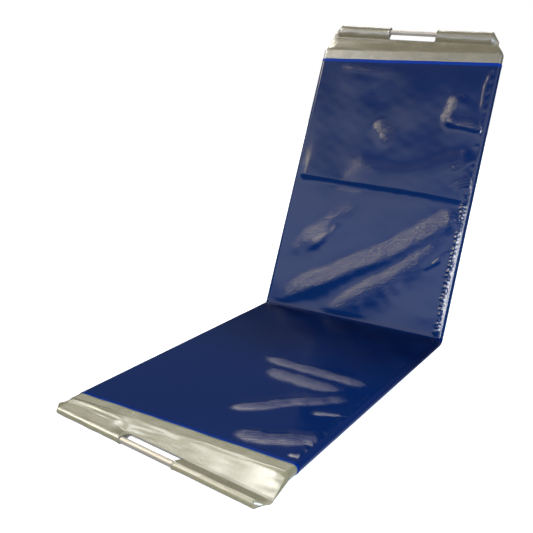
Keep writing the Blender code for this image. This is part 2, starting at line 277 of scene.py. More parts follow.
class Nodes:
    """A short way to build a material's node tree."""

    def __init__(self, name):
        self.material = bpy.data.materials.new(name)
        self.material.use_nodes = True
        self.tree = self.material.node_tree
        self.shader = self.tree.nodes["Principled BSDF"]

    def new(self, kind, inputs=(), **settings):
        return add_node(self.tree, kind, inputs, **settings)

    def math(self, operation, *values):
        return self.new("ShaderNodeMath", enumerate(values), operation=operation).outputs[0]

    def set(self, **inputs):
        for key, value in inputs.items():
            fill(self.tree, self.shader.inputs[key.replace("_", " ")], value)

    def metres(self, stretch=(1, 1, 1), turn=0.0):
        """The map in metres, turned and then stretched along the turned axes."""
        uv = self.new("ShaderNodeUVMap", uv_map="metres").outputs[0]
        inputs = {"Vector": uv, "Scale": stretch, "Rotation": (0, 0, turn)}
        return self.new("ShaderNodeMapping", inputs, vector_type="TEXTURE").outputs[0]

    def place(self):
        return self.new("ShaderNodeTexCoord").outputs["Object"]

    def noise(self, vector, scale, detail=3.0, roughness=0.5, distortion=0.0):
        return self.new("ShaderNodeTexNoise", {
            "Vector": vector, "Scale": scale, "Detail": detail,
            "Roughness": roughness, "Distortion": distortion,
        }).outputs["Fac"]

    def between(self, value, low, high, to_low=0.0, to_high=1.0):
        return self.new(
            "ShaderNodeMapRange",
            {"Value": value, "From Min": low, "From Max": high, "To Min": to_low, "To Max": to_high},
        ).outputs[0]

    def mix(self, factor, first, second):
        return self.new("ShaderNodeMix", {0: factor, 6: first, 7: second}, data_type="RGBA").outputs[2]

    def bump(self, height, distance, strength=1.0, normal=None):
        inputs = {"Height": height, "Distance": distance, "Strength": strength}
        if normal is not None:
            inputs["Normal"] = normal
        return self.new("ShaderNodeBump", inputs).outputs[0]


FILM_LENGTH = 1.52
# the film's colour from the lower hem (0) over the fold (0.76) to the upper hem, with painted light and
# shade: darker on the lower half near the fold as painted shade from the upper half, and lighter low on the
# upper half than towards its top as painted falloff of the light
FILM_TONES_WITH_PAINTED_LIGHT_AND_SHADE = [
    (0.00, (0.0009, 0.0098, 0.051)), (0.35, (0.0008, 0.0090, 0.048)), (0.62, (0.0002, 0.0028, 0.020)),
    (0.75, (0.0002, 0.0025, 0.018)), (0.78, (0.0010, 0.0132, 0.056)), (1.00, (0.0010, 0.0126, 0.053)),
    (1.22, (0.0008, 0.0090, 0.040)), (1.52, (0.0007, 0.0070, 0.034)),
]


def film_material():
    """Coated film, with painted light and shade in its colour along its length. Its crumple attribute is 1
    along folds, 0 where taut and -1 in the bend at the fold, which gets painted shade: a darker colour and
    less gloss.
    """
    m = Nodes("film_navy")
    uv = m.metres()
    cloudy = m.noise(uv, 7, 2)
    along = m.new("ShaderNodeSeparateXYZ", {"Vector": uv}).outputs["Y"]
    # painted light and shade: this ramp darkens the lower half near the fold and lightens the upper half low
    # down
    light_and_shade_ramp = m.new("ShaderNodeValToRGB", {"Fac": m.between(along, 0.0, FILM_LENGTH)})
    colour_stops(light_and_shade_ramp.color_ramp, [(at / FILM_LENGTH, shade) for at, shade in FILM_TONES_WITH_PAINTED_LIGHT_AND_SHADE])
    colour = m.mix(m.between(cloudy, 0.35, 0.7, 0.0, 0.3), light_and_shade_ramp.outputs[0], (0.0012, 0.0125, 0.056))
    # 1 in the lower half's shade near the fold, where the film looks dull
    shaded = m.math("MULTIPLY", m.between(along, 0.35, 0.62), m.between(along, 0.74, 0.76, 1.0, 0.0))
    creases_and_fold_shade = m.new("ShaderNodeAttribute", attribute_name="crumple_and_fold_shade").outputs["Fac"]
    # painted shade: the bend at the fold (-1) is darker and, below, less glossy
    painted_fold_shade = m.between(creases_and_fold_shade, -1.0, -0.2, 1.0, 0.0)
    colour = m.mix(painted_fold_shade, colour, (0.0006, 0.0060, 0.045))
    crinkle = m.noise(m.metres((1.6, 1.0, 1.0), -0.5), 190, 2.5, 0.65, 0.6)
    streaks = m.noise(m.metres((3.5, 1.0, 1.0), -0.6), 300, 3, 0.7, 0.4)
    fine = m.noise(uv, 520, 3, 0.6)
    normal = m.bump(crinkle, 0.0050, strength=m.between(creases_and_fold_shade, 0.0, 1.0, 0.01, 0.20))
    normal = m.bump(streaks, 0.0050, strength=m.between(creases_and_fold_shade, 0.0, 1.0, 0.01, 0.50), normal=normal)
    normal = m.bump(fine, 0.00005, normal=normal)
    bright, dull = m.between(creases_and_fold_shade, -1.0, -0.2, 0.0, 0.30), m.between(shaded, 0.0, 1.0, 1.0, 0.15)
    gloss = m.math("MULTIPLY", bright, dull)
    rough, duller = m.between(creases_and_fold_shade, 0.0, 1.0, 0.11, 0.14), m.between(shaded, 0.0, 1.0, 0.0, 0.16)
    m.set(
        Base_Color=colour, Roughness=m.math("ADD", rough, duller), Specular_IOR_Level=gloss,
        Specular_Tint=(1.0, 0.85, 0.57), Normal=normal,
    )
    return m.material


def hem_material(name, low, high, specular, edge=None):
    """Ribbed film band. edge is another colour along the band's outermost fold."""
    m = Nodes(name)
    uv = m.metres()
    wave = {"Vector": uv, "Scale": 420.0, "Distortion": 1.2, "Detail": 2.0}
    ribs = m.new("ShaderNodeTexWave", wave).outputs["Fac"]
    cloudy = m.noise(uv, 30, 3)
    colour = m.mix(cloudy, low, high)
    if edge:
        across = m.new("ShaderNodeSeparateXYZ", {"Vector": uv}).outputs["X"]
        far = m.math("ABSOLUTE", m.math("SUBTRACT", across, HEM_GIRTH / 2))
        colour = m.mix(m.between(far, HEM_GIRTH * 0.40, HEM_GIRTH * 0.45), colour, edge)
    m.set(Base_Color=colour, Roughness=0.32, Specular_IOR_Level=specular, Normal=m.bump(ribs, 0.0001))
    return m.material


def cloth_material(name, low, high, fleck):
    """Coated woven cloth with long creases."""
    m = Nodes(name)
    uv = m.metres()
    cloudy = m.noise(uv, 14, 4, 0.6)
    fine = m.noise(uv, 160, 3)
    colour = m.mix(m.between(cloudy, 0.3, 0.7), low, high)
    colour = m.mix(m.between(fine, 0.45, 0.8, 0.0, 0.25), colour, fleck)
    weave = m.new("ShaderNodeTexWave", {"Vector": uv, "Scale": 330.0, "Distortion": 0.3}).outputs["Fac"]
    turned = m.metres((1, 1, 1), math.pi / 2)
    cross = m.new("ShaderNodeTexWave", {"Vector": turned, "Scale": 330.0, "Distortion": 0.3}).outputs["Fac"]
    threads = m.math("MULTIPLY", weave, cross)
    creases = m.noise(m.metres((4.0, 1.0, 1.0), 0.03), 130, 3, 0.6, 0.5)
    normal = m.bump(creases, 0.0010, strength=0.3)
    normal = m.bump(threads, 0.00008, normal=normal)
    m.set(
        Base_Color=colour, Metallic=0.05, Roughness=m.between(cloudy, 0.3, 0.7, 0.22, 0.28),
        Specular_IOR_Level=0.8, Specular_Tint=(1.0, 0.98, 0.94), Coat_Weight=0.5, Coat_Roughness=0.10,
        Normal=normal,
    )
    return m.material


def rod_material():
    m = Nodes("rod_brushed_aluminium")
    spot = m.place()
    drawn = m.new("ShaderNodeMapping", {"Vector": spot, "Scale": (12, 900, 900)}).outputs[0]
    streaks = m.noise(drawn, 1.0, 4, 0.6)
    cloudy = m.noise(spot, 30, 3)
    m.set(
        Base_Color=m.mix(cloudy, (0.30, 0.255, 0.18), (0.35, 0.305, 0.23)), Metallic=0.45,
        Roughness=m.between(streaks, 0.3, 0.7, 0.36, 0.44), Normal=m.bump(streaks, 0.00005),
    )
    return m.material


def plug_material():
    m = Nodes("plug_moulded_black")
    grain = m.noise(m.place(), 900, 3)
    black = m.mix(grain, (0.02, 0.02, 0.022), (0.04, 0.04, 0.042))
    m.set(Base_Color=black, Roughness=0.55, Normal=m.bump(grain, 0.0001))
    return m.material


def foam_material():
    m = Nodes("foam_closed_cell")
    cells = m.new("ShaderNodeTexVoronoi", {"Vector": m.place(), "Scale": 550.0}).outputs["Distance"]
    pale = m.mix(cells, (0.62, 0.62, 0.60), (0.80, 0.80, 0.78))
    m.set(Base_Color=pale, Roughness=0.9, Normal=m.bump(cells, 0.0004))
    return m.material


def skin_material():
    m = Nodes("core_sheet_smooth")
    marks = m.noise(m.place(), 40, 5, 0.6)
    m.set(
        Base_Color=m.mix(marks, (0.50, 0.51, 0.53), (0.60, 0.61, 0.63)),
        Roughness=m.between(marks, 0.3, 0.7, 0.35, 0.5), Normal=m.bump(marks, 0.0002),
    )
    return m.material


def thread_material(name, low, high):
    m = Nodes(name)
    twist = m.noise(m.place(), 1500, 2)
    m.set(Base_Color=m.mix(twist, low, high), Roughness=0.6, Normal=m.bump(twist, 0.0001))
    return m.material


FILM = film_material()
UPPER_HEM = hem_material("hem_bright_blue", (0.0003, 0.0140, 0.105), (0.0006, 0.0190, 0.135), 0.06)
LOWER_HEM = hem_material(
    "hem_cyan_edged", (0.0006, 0.0110, 0.078), (0.0010, 0.0140, 0.095), 0.03, edge=(0.002, 0.12, 0.42)
)
# both are the one liner cloth: the upper flap's copy is darker, as painted shade
CLOTH = {
    "lower": cloth_material(
        "liner_cloth_silver_khaki", (0.165, 0.145, 0.066), (0.212, 0.190, 0.100), (0.28, 0.265, 0.22)
    ),
    "upper": cloth_material(
        "liner_cloth_khaki_painted_shade", (0.100, 0.081, 0.036), (0.130, 0.108, 0.055), (0.17, 0.155, 0.13)
    ),
}
ROD = rod_material()
PLUG = plug_material()
FOAM = foam_material()
SKIN = skin_material()
# the binding's dark colour also paints the shade on the flap edge's face
BINDING_AND_PAINTED_SHADE = thread_material("binding_dark_and_painted_shade", srgb(70, 68, 62), srgb(110, 106, 96))
CLOTH_THREAD = thread_material("thread_grey", srgb(96, 92, 84), srgb(130, 126, 116))

# ---- film sleeve

# Folds on each half's upper face, with their paths as (x, s) points
UPPER_FOLDS = [
    # storage crease across the middle: a sharp rise, then a long fall
    dict(points=[(-0.262, 0.399), (-0.15, 0.396), (-0.05, 0.392),
                 (0.07, 0.388), (0.18, 0.383), (0.262, 0.378)],
         height=0.0056, outer=0.060, inner=0.0095, inner_end=0.0135, power=1.5, ends=(0.05, 0.05),
         wander=0.25, crinkled=0.12),
    dict(points=[(-0.2, 0.372), (0.0, 0.366), (0.2, 0.362)],
         height=0.0012, outer=0.009, inner=0.022),
    # main diagonal
    dict(points=[(-0.262, 0.0), (-0.133, 0.068), (-0.011, 0.140),
                 (0.067, 0.186), (0.167, 0.262), (0.264, 0.342)],
         height=0.0080, outer=0.028, inner=0.018, inner_end=0.028, power=1.8, ends=(0.25, 0.08), wander=0.7),
    # second diagonal
    dict(points=[(-0.102, 0.012), (-0.038, 0.030), (0.045, 0.098),
                 (0.104, 0.142), (0.18, 0.21), (0.25, 0.292)],
         height=0.0056, outer=0.020, inner=0.042, power=1.8, ends=(0.2, 0.25)),
    # left bow and its echo
    dict(points=[(-0.262, 0.140), (-0.203, 0.180), (-0.153, 0.226), (-0.095, 0.294), (0.021, 0.330)],
         height=0.0024, outer=0.030, inner=0.026, ends=(0.25, 0.35)),
    dict(points=[(-0.185, 0.170), (-0.13, 0.212), (-0.075, 0.275)],
         height=0.0026, outer=0.014, inner=0.012),
    # bowl above the crease
    dict(points=[(-0.15, 0.475), (-0.1, 0.455), (-0.03, 0.436), (0.03, 0.430), (0.10, 0.438),
                 (0.18, 0.472), (0.262, 0.508)],
         height=0.0048, outer=0.026, inner=0.046, ends=(0.35, 0.1), wander=0.1, crinkled=0.15),
    dict(points=[(-0.06, 0.585), (-0.02, 0.545), (0.015, 0.505)],
         height=0.0046, outer=0.026, inner=0.024, ends=(0.4, 0.4)),
    # right side, above
    dict(points=[(0.14, 0.585), (0.165, 0.61), (0.185, 0.68)],
         height=0.0044, outer=0.020, inner=0.024),
    dict(points=[(0.15, 0.602), (0.20, 0.588), (0.264, 0.574)],
         height=0.0044, outer=0.020, inner=0.010, ends=(0.25, 0.05)),
    dict(points=[(0.252, 0.62), (0.25, 0.69), (0.252, 0.75)],
         height=0.0016, outer=0.006, inner=0.010, ends=(0.25, 0.2)),
    dict(points=[(-0.22, 0.742), (-0.12, 0.737), (0.0, 0.738)],
         height=0.0013, outer=0.010, inner=0.012),
    # small creases from the right edge
    dict(points=[(0.18, 0.445), (0.22, 0.468), (0.264, 0.492)],
         height=0.0018, outer=0.008, inner=0.005, ends=(0.5, 0.02)),
    dict(points=[(0.20, 0.412), (0.23, 0.424), (0.264, 0.443)],
         height=0.0016, outer=0.007, inner=0.005, ends=(0.5, 0.02)),
    dict(points=[(0.22, 0.402), (0.264, 0.422)],
         height=0.0012, outer=0.006, inner=0.004, ends=(0.5, 0.02)),
    dict(points=[(0.185, 0.172), (0.235, 0.215)],
         height=0.0014, outer=0.004, inner=0.006),
    dict(points=[(0.205, 0.185), (0.255, 0.238)],
         height=0.0014, outer=0.004, inner=0.006),
]
LOWER_FOLDS = [
    # storage crease and the swell behind it
    dict(points=[(-0.08, 0.364), (0.0, 0.366), (0.10, 0.366), (0.18, 0.370), (0.262, 0.380)],
         height=0.0042, outer=0.020, inner=0.007, power=1.7, ends=(0.3, 0.2)),
    dict(points=[(-0.03, 0.428), (0.06, 0.426), (0.15, 0.427), (0.23, 0.436)],
         height=0.0036, outer=0.028, inner=0.012, ends=(0.3, 0.25)),
    # long diagonals
    dict(points=[(0.02, 0.648), (0.08, 0.604), (0.12, 0.556), (0.19, 0.496), (0.25, 0.455)],
         height=0.0034, outer=0.014, inner=0.024, ends=(0.2, 0.2)),
    dict(points=[(0.09, 0.722), (0.15, 0.712), (0.2, 0.69), (0.262, 0.645)],
         height=0.0038, outer=0.018, inner=0.018, ends=(0.3, 0.1)),
    dict(points=[(0.19, 0.572), (0.22, 0.556), (0.26, 0.54)],
         height=0.0016, outer=0.007, inner=0.010, ends=(0.3, 0.2)),
    dict(points=[(0.235, 0.745), (0.264, 0.73)],
         height=0.0014, outer=0.006, inner=0.006, ends=(0.4, 0.1)),
]
# the upper half's back, which the photo doesn't show
BACK_FOLDS = [
    dict(points=[(-0.262, 0.388), (-0.1, 0.384), (0.1, 0.386), (0.262, 0.380)],
         height=0.0010, outer=0.030, inner=0.008, ends=(0.1, 0.1), wander=0.4),
    dict(points=[(-0.25, 0.10), (-0.12, 0.17), (0.02, 0.27), (0.10, 0.35)],
         height=0.0012, outer=0.022, inner=0.012, ends=(0.2, 0.4)),
    dict(points=[(0.25, 0.06), (0.16, 0.15), (0.10, 0.26)],
         height=0.0011, outer=0.012, inner=0.024, ends=(0.2, 0.4)),
    dict(points=[(-0.18, 0.70), (-0.06, 0.60), (0.02, 0.47)],
         height=0.0010, outer=0.016, inner=0.026),
    dict(points=[(0.24, 0.70), (0.16, 0.62), (0.12, 0.50)],
         height=0.0011, outer=0.020, inner=0.014, ends=(0.2, 0.4)),
]


def puckers(x, s, start, end, pitch, seed):
    """Short gathers that run in from the right long edge."""
    rng = np.random.default_rng(seed)
    total = np.zeros(x.shape)
    at = start
    while at < end:
        at += pitch * rng.uniform(0.6, 1.5)
        reach = rng.uniform(0.010, 0.026)
        height = rng.uniform(0.0006, 0.0016)
        lean = rng.uniform(-0.5, 0.7)
        inwards = PUCKER_END - x
        centre = at - lean * inwards
        width = pitch * rng.uniform(0.22, 0.36)
        gather = height * np.exp(-((s - centre) / width) ** 2)
        total += gather * ease(1 - inwards / reach) * (inwards > -0.001)
    return total


def teeth(s, seed, shortest, longest):
    """A random saw-tooth line from 0 to 1: each tooth rises fast and falls slowly."""
    rng = np.random.default_rng(seed)
    places, values = [0.0], [0.0]
    while places[-1] < HALF_LENGTH:
        tooth = rng.uniform(shortest, longest)
        places += [places[-1] + 0.25 * tooth, places[-1] + tooth]
        values += [rng.uniform(0.35, 1.0), 0.0]
    return np.interp(s, places, values)


def edge_roll(x, s):
    """Loose roll along the right long edge, up to the storage crease. Its outer flank varies in width."""
    width = 0.0058 + 0.0050 * teeth(s, 71, 0.006, 0.018)
    crest = ROLL_END - width
    inland = ease((x - crest + 0.013) / 0.013)
    outside = np.clip((ROLL_END - x) / width, 0, 1)
    return 0.55 * width * np.where(x < crest, inland, outside) * ease((0.376 - s) / 0.012)


def film_height(half, x, s):
    """How far the loose film stands off the board on its upper face."""
    folds = UPPER_FOLDS if half == "upper" else LOWER_FOLDS
    total = np.zeros(x.shape)
    uneven = 0.04 * waves(x, s, 51, 0.03) + 0.02 * waves(x, s, 53, 0.014)
    for fold in folds:
        total = np.maximum(total, 0) + ridge(x, s, **fold) * (1 + fold.get("crinkled", 1.0) ** 2 * uneven)
    inland = ease(s / 0.07) * ease((HEM_START - s) / 0.09)
    if half == "upper":
        total += inland * 0.0011 * (1 + waves(x, s, 3, 0.16))
        total += inland * 0.00012 * (1 + waves(x, s, 5, 0.045))
        total = np.maximum(total, edge_roll(x, s))
        total += puckers(x, s, 0.0, 0.378, 0.0095, 11)
        total += 0.7 * puckers(x, s, 0.40, 0.75, 0.022, 12)
        fade = 0.010
    else:
        loose = ease((x + 0.12) / 0.2)
        total += inland * 0.0003 * (1 + waves(x, s, 7, 0.2)) * (0.35 + 0.65 * loose)
        total += inland * 0.00018 * (1 + waves(x, s, 9, 0.05)) * (0.2 + 0.8 * loose)
        total += 0.7 * puckers(x, s, 0.40, 0.75, 0.022, 14)
        fade = 0.012
    right, left = ease((0.2668 - x) / 0.002 + 0.35), ease((0.2665 - np.abs(x)) / 0.004 + 0.35)
    edge = np.where(x > 0.2, right, left)
    near_fold = ease((s - 0.002) / 0.018)
    near_hem = ease((HEM_START + 0.002 - s) / (fade + 0.010))
    return np.clip(total, 0, TALLEST_FOLD) * edge * near_fold * near_hem


def film_crumple(half, x, s):
    """How crinkled the film is, from 0 where it lies taut to 1 along its folds."""
    folds = UPPER_FOLDS if half == "upper" else LOWER_FOLDS
    total = np.full(x.shape, 0.07 if half == "upper" else 0.0)
    for fold in folds:
        outer, inner = fold["outer"] * 1.3 + 0.003, fold["inner"] * 0.3 + 0.001
        wide = dict(fold, outer=outer, inner=inner, inner_end=None, height=fold["height"] / 0.0045)
        total += fold.get("crinkled", 1.0) * ridge(x, s, **wide)
    return np.clip(total, 0, 1) * (0.85 if half == "upper" else 1.0)


def section_columns(top_columns):
    """x, n and outward direction round the film's section, from the right end of the upper face."""
    top = [(x, THICKNESS, 0.0, 1.0) for x in top_columns]
    bottom = [(x, 0.0, 0.0, -1.0) for x in np.linspace(-FLAT_END, FLAT_END, 72)]
    ends = {side: [] for side in SIDES}
    for side, step in itertools.product(SIDES, range(1, 12)):
        angle = math.pi / 2 * (1 - 2 * step / 12)
        c, d = math.cos(angle), math.sin(angle)
        n = MIDDLE + EDGE_RADIUS * d + (MIDDLE - EDGE_RADIUS) * np.sign(round(d, 6))
        ends[side].append((side * (FLAT_END + EDGE_RADIUS * c), n, side * c, d))
    return np.array(top + ends[-1] + bottom + ends[1][::-1])


def round_fold(first, last, x, n, shares):
    """Rows of a curve round the fold, drawn from first to last towards the corner between the halves."""
    corner = place("lower", x, -(FOLD_Z - n) / math.tan(FOLD_ANGLE / 2), n)
    return [(1 - t) ** 2 * first + 2 * t * (1 - t) * corner + t ** 2 * last for t in shares]


def spaced(stops):
    """Values from stop to stop: each stop is (value, spacing up to the next)."""
    out = []
    for (first, spacing), (last, _) in zip(stops, stops[1:]):
        count = max(1, round(abs(last - first) / spacing))
        out.extend(first + (last - first) * i / count for i in range(count))
    out.append(stops[-1][0])
    return np.array(out)


def film_sleeve():
    """The film round both halves and the fold, in one piece, with its folds, gathers and edge roll."""
    top = spaced([(0.2645, 0.0013), (0.2540, 0.0020), (0.235, 0.0036), (-0.255, 0.0022), (-0.2645, 0)])
    section = section_columns(top)
    count = len(section)
    x, n, nx, nn = section.T
    on_top, under = np.arange(count) < len(top), nn < -0.99
    # how far from the fold the film leaves each half, further at the rounded long edges
    rounded = np.abs(x) > FLAT_END + 1e-6
    crossing = np.where(rounded, 0.001 + 0.0025 * (n / THICKNESS), 0.001)
    rows_s = spaced([(0.0, 0.0022), (0.34, 0.0016), (0.445, 0.0034), (HEM_START + 0.003, 0)])[1:]
    rows, crumples = [], []
    for half in ("lower", "upper"):
        xx, ss = np.meshgrid(x, rows_s)
        share = (rows_s[-1] - crossing[None, :]) / (rows_s[-1] - rows_s[0])
        ss = crossing[None, :] + (ss - rows_s[0]) * share
        off = np.zeros(xx.shape)
        off[:, on_top] = film_height(half, xx[:, on_top], ss[:, on_top])
        if half == "upper":
            below_x, below_s = xx[:, under], ss[:, under]
            swell = 0.0005 * (1 + waves(below_x, below_s, 21, 0.15))
            for fold in BACK_FOLDS:
                swell = np.maximum(swell, 0) + ridge(below_x, below_s, **fold)
            swell *= ease((FLAT_END - np.abs(below_x)) / 0.03)
            swell *= ease((below_s - 0.01) / 0.04) * ease((HEM_START - below_s) / 0.02)
            off[:, under] = swell
        rows.append(place(half, xx + nx * off, ss, n + nn * off))
        crumples.append(np.where(on_top, film_crumple(half, xx, ss), 0.2))
    lower, upper = rows[0][::-1], rows[1]
    bridge = round_fold(lower[-1], upper[0], x, n, np.arange(1, 9) / 9)
    points = np.concatenate([lower, np.array(bridge), upper])
    column = 70    # one on the upper face, along which lengths are taken
    length = np.concatenate([[0], np.cumsum(np.linalg.norm(np.diff(points[:, column], axis=0), axis=1))])
    uv = np.stack(np.meshgrid(ring_lengths(section[:, :2]), length), axis=-1)
    sleeve = grid_object("film_sleeve", points, uv, FILM, closed=True, flip=True)
    # -1 marks the bend at the fold, where the film material paints shade
    crumple_and_fold_shade = np.concatenate([crumples[0][::-1], np.full((len(bridge), count), -1.0), crumples[1]])
    layer = sleeve.data.attributes.new("crumple_and_fold_shade", "FLOAT", "POINT")
    layer.data.foreach_set("value", crumple_and_fold_shade.astype(np.float32).ravel())
    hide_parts("lower_sleeve", "upper_sleeve", "sleeve_fold")
    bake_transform(sleeve)
    return sleeve


def hem(half):
    """The folded edge at the sleeve's open end: a flat rounded band all round the board."""
    section = section_columns(np.linspace(FLAT_END, -FLAT_END, 130))
    x, n, nx, nn = section.T
    profile = []
    for step in range(16):
        angle = 2 * math.pi * step / 16
        c, d = math.cos(angle), math.sin(angle)
        s = HEM_MIDDLE + HEM_HALF * np.sign(c) * abs(c) ** 0.6
        profile.append((s, HEM_RISE * np.sign(d) * abs(d) ** 0.8))
    rows = []
    line = 1 if half == "upper" else 2
    for s, out in profile:
        wobble = 0.0005 * waves(x, line, 31, 0.11) * (np.abs(nn) > 0.99)
        rise = out + 0.00004 * waves(x, 3, 33, 0.03) * (nn > 0.99)
        rows.append(place(half, x + nx * rise, s + wobble, np.maximum(n + nn * rise, 0.0)))
    # rows run round the board and columns round the band, and both close
    points = np.array(rows).transpose(1, 0, 2)
    points = np.concatenate([points, points[:1]])
    round_band = np.linspace(0, HEM_GIRTH, len(profile) + 1)
    uv = np.stack(np.meshgrid(round_band, ring_lengths(section[:, :2])), axis=-1)
    material = UPPER_HEM if half == "upper" else LOWER_HEM
    band = grid_object(f"{half}_hem", points, uv, material, closed=True)
    weld(band)
    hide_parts(f"{half}_sleeve_hem")
    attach(band, f"{half}_half")
    return band


# ---- liner cloth


def flap_place(half, x, r, m):
    """World places in the flap: x to the right, r out from the core's end and m above its middle."""
    droop = FLAPS[half]["droop"] * ease(r / SHOULDER)
    s = CORE_END + r * np.cos(droop) + m * np.sin(droop)
    n = MIDDLE - r * np.sin(droop) + m * np.cos(droop)
    return place(half, x, s, n)


def from_rod(half, along, out):
    """x and r of points from the rod's middle: along it to the right and out from the board."""
    flap = FLAPS[half]
    skew = flap["skew"]
    x = along * math.cos(skew) - out * math.sin(skew)
    return x, flap["rod"] + along * math.sin(skew) + out * math.cos(skew)


def rod_place(half, along, out, m):
    """World places from the rod's middle: along it to the right, out from the board and m above."""
    return flap_place(half, *from_rod(half, along, out), m)


def seam_lift(half, x):
    """1 where the upper ply runs tight from the core to the rod's crest, 0 where it dips to the seam."""
    if half == "upper":
        return np.zeros(np.shape(x))
    return ease((-x - 0.080) / 0.045) * ease((0.283 + x) / 0.024)


def tight_height(half, r):
    """The straight line that a tight upper ply takes from the core's end to the rod's crest."""
    top = MIDDLE - LINER_OUTSET
    return top + (POCKET_RADIUS - top) * np.clip(r / FLAPS[half]["rod"], 0, 1)


def flap_half_height(half, r):
    """Half the flap's height, which falls from the core's end to the two plies at the seam."""
    share = np.clip(r / FLAPS[half]["seam"], 0, 1)
    return SEAM_HALF + (MIDDLE - LINER_OUTSET - SEAM_HALF) * (1 - share) ** FLAP_TAPER


def liner_rise(half, x, r):
    """Height of the upper ply above its plain shape: tension, gathers and the roll over the core's end."""
    flap = FLAPS[half]
    seed = 41 if half == "upper" else 43
    free = ease(r / 0.012) * ease((flap["seam"] - r) / 0.010)
    calm = 0.45 if half == "upper" else 1.0
    gathers = 0.00035 * (1 + waves(x, r, seed, 0.050, stretch=(2.0, 0.7)))
    gathers += calm * 0.00016 * (1 + waves(x, r, seed + 5, 0.012, stretch=(6.0, 1.0)))
    soft = 0.00025 * (1 + waves(x, r, 47, 0.06))
    soft = soft * ease((0.002 - r) / 0.006) * ease((r + 0.027) / 0.006)
    centre = 0.0035 + 0.0016 * np.sin(x / 0.021) + 0.0009 * np.sin(x / 0.0083)
    roll = (0.0011 if half == "lower" else 0.0005) * np.exp(-((r - centre) / 0.0038) ** 2)
    roll = roll * (0.65 + 0.35 * np.sin(x / 0.034 + 1.0))
    if half == "lower":
        tuck = 0.010 + 0.03 * (x + 0.2) + 0.0012 * np.sin(x / 0.015)
        roll = roll + 0.0026 * np.exp(-((r - tuck) / 0.0070) ** 2) * ease((-x - 0.09) / 0.07)
    half_width = LINER_HALF + (flap["half_seam"] - LINER_HALF) * np.clip(r / flap["seam"], 0, 1)
    ends = ease((half_width - np.abs(x)) / 0.014)
    tight = (tight_height(half, r) - flap_half_height(half, r)) * (r > 0)
    return (gathers * free + soft + roll) * ends + seam_lift(half, x) * tight


def liner(half):
    """The cloth round the core's end, drawn down to the flat two-ply seam."""
    flap = FLAPS[half]
    reaches = spaced([(-LINER_INSIDE, 0.006), (-0.030, 0.0018), (flap["seam"], 0)])
    tops, bottoms = np.linspace(1, -1, 220), np.linspace(-1, 1, 96)
    angles = math.pi / 2 * (1 - 2 * np.arange(1, 12) / 12)
    points = []
    for r in reaches:
        share = max(0.0, r) / flap["seam"]
        half_width = LINER_HALF + (flap["half_seam"] - LINER_HALF) * share
        half_height = float(flap_half_height(half, r))
        radius = min(LINER_RADIUS, half_height * 0.98)
        flat = half_width - radius
        corner_x = flat + radius * np.cos(angles)
        corner_m = (half_height - radius) * np.sign(np.round(np.sin(angles), 6)) + radius * np.sin(angles)
        x = np.concatenate([tops * flat, -corner_x, bottoms * flat, corner_x[::-1]])
        above, below = np.full(len(tops), half_height), np.full(len(bottoms), -half_height)
        m = np.concatenate([above, corner_m, below, corner_m[::-1]])
        shear = math.tan(flap["skew"]) * max(0.0, (r - SHOULDER) / (flap["seam"] - SHOULDER))
        rise = liner_rise(half, x, r) * (np.arange(len(x)) < len(tops))
        m *= 1 - 0.6 * ease(share / 0.25) * (1 - share) * ease((np.abs(x) / half_width - 0.89) / 0.11)
        points.append(flap_place(half, x, r + shear * x, m + rise))
    points = np.array(points)
    uv = np.stack(np.meshgrid(ring_lengths(points[0]), reaches + LINER_INSIDE), axis=-1)
    flip = half == "lower"
    cloth = grid_object(f"{half}_liner_cloth", points, uv, CLOTH[half], closed=True, flip=flip)
    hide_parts(f"{half}_liner", f"{half}_liner_shoulder", f"{half}_flap")
    middle, beyond = (flap_place(half, 0.0, r, 0.0) for r in (0.0, SHOULDER))
    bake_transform(cloth)
    return cloth


def teardrop(radius, seam, seam_half, slack, steps):
    """Section of a rod pocket, as (out, m) from the rod's axis: from the seam over the rod and back."""
    start = math.pi - math.acos((radius - seam_half) / seam)
    angles = start - 2 * start * np.arange(steps + 1) / steps
    out = radius * np.cos(angles) + slack * np.maximum(0, np.cos(angles)) ** 2
    m = radius * np.sin(angles)
    run_in = np.concatenate([[0, 0.012], np.linspace(0, 1, 9)[1:-1]])
    ends = []
    for i, level in ((0, seam_half), (-1, -seam_half)):
        ends.append(np.stack([-seam + (out[i] + seam) * run_in, level + (m[i] - level) * run_in], axis=-1))
    return np.vstack([ends[0], np.stack([out, m], axis=-1), ends[1][::-1]])


def seam_distance(half):
    """From the rod's axis back to the pocket's seam, square to the rod."""
    flap = FLAPS[half]
    return (flap["rod"] - flap["seam"]) * math.cos(flap["skew"])


